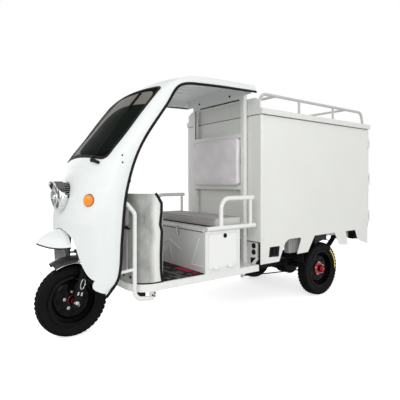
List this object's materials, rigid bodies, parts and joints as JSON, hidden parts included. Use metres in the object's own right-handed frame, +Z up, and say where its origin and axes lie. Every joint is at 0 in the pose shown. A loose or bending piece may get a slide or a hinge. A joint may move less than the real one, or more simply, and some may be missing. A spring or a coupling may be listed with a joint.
{
  "type": "enclosed electric cargo tricycle",
  "caption": "Electric cargo tricycle with a moulded cab, open doorways, bench seat, closed cargo box with rear doors and a roof rack.",
  "frame": {"origin": "on the floor under the middle of the vehicle's length and width", "axes": "+X forward, +Y to the vehicle's left, +Z up"},
  "size_m": [3.223, 1.04, 1.8698],
  "materials": {
    "white_paint": "gloss paint",
    "white_shell": "gloss moulded",
    "grey_paint": "gloss paint",
    "black_paint": "satin paint",
    "dark_plastic": "textured",
    "rubber": "matt",
    "tyre": "matt",
    "glass": "tinted",
    "chrome": "chrome",
    "amber_lens": "clear",
    "red_lens": "clear",
    "vinyl": "leathercloth",
    "floor_rubber": "printed"
  },
  "bodies": {
    "chassis": {"chassis_frame": "white_paint", "head_tube": "black_paint", "floor_pan": "white_paint", "floor_mat": "floor_rubber", "leg_shield": "grey_paint", "cab_shell": "white_shell", "windscreen": "glass", "cab_seal": "rubber", "headlamp": "chrome", "indicators": "amber_lens", "beak": "white_shell", "seat_box": "grey_paint", "armrests": "white_paint", "battery_pack": "dark_plastic", "partition_frame": "white_paint", "partition_panel": "vinyl", "cargo_floor": "grey_paint", "cargo_sides": "white_paint", "cargo_front_wall": "white_paint", "cargo_roof": "white_paint", "door_hinges": "white_paint", "roof_rack": "white_paint", "guard_hoops": "white_paint", "rear_axle": "black_paint", "leaf_springs": "black_paint", "rear_mudguards": "dark_plastic", "tail_lamps": "red_lens", "brake_rod": "black_paint", "dashboard": "dark_plastic", "wiper": "dark_plastic", "brake_pedal": "black_paint"},
    "steering": {"fork": "black_paint", "handlebar": "black_paint", "front_mudguard": "dark_plastic"},
    "front_wheel": {"front_wheel_rim": "black_paint", "front_wheel_tyre": "tyre"},
    "rear_wheel_left": {"rear_wheel_left_rim": "black_paint", "rear_wheel_left_tyre": "tyre"},
    "rear_wheel_right": {"rear_wheel_right_rim": "black_paint", "rear_wheel_right_tyre": "tyre"},
    "door_left": {"cargo_door_left": "white_paint"},
    "door_right": {"cargo_door_right": "white_paint"},
    "lid": {"seat_lid": "white_paint", "seat_cushion": "vinyl"},
    "hatch": {"seat_hatch": "white_paint"}
  },
  "joints": [
    {"name": "steering_turn", "type": "hinge", "parent": "chassis", "child": "steering", "pos_m": [1.34475, 0, 0.23931], "axis": [-0.2588, 0, 0.9659], "range_deg": [-35, 35]},
    {"name": "front_wheel_spin", "type": "hinge", "parent": "steering", "child": "front_wheel", "pos_m": [1.366, 0, 0.245], "axis": [0, 1, 0], "continuous": true},
    {"name": "rear_wheel_left_spin", "type": "hinge", "parent": "chassis", "child": "rear_wheel_left", "pos_m": [-0.82804, 0.42, 0.245], "axis": [0, 1, 0], "continuous": true},
    {"name": "rear_wheel_right_spin", "type": "hinge", "parent": "chassis", "child": "rear_wheel_right", "pos_m": [-0.82804, -0.42, 0.245], "axis": [0, 1, 0], "continuous": true},
    {"name": "door_left_swing", "type": "hinge", "parent": "chassis", "child": "door_left", "pos_m": [-1.605, 0.497, 1.09], "axis": [0, 0, -1], "range_deg": [0, 180]},
    {"name": "door_right_swing", "type": "hinge", "parent": "chassis", "child": "door_right", "pos_m": [-1.605, -0.497, 1.09], "axis": [0, 0, 1], "range_deg": [0, 180]},
    {"name": "lid_lift", "type": "hinge", "parent": "chassis", "child": "lid", "pos_m": [0.143, 0, 0.7063], "axis": [0, -1, 0], "range_deg": [0, 50]},
    {"name": "hatch_drop", "type": "hinge", "parent": "chassis", "child": "hatch", "pos_m": [0.3945, 0.488, 0.425], "axis": [-1, 0, 0], "range_deg": [0, 90]}
  ]
}
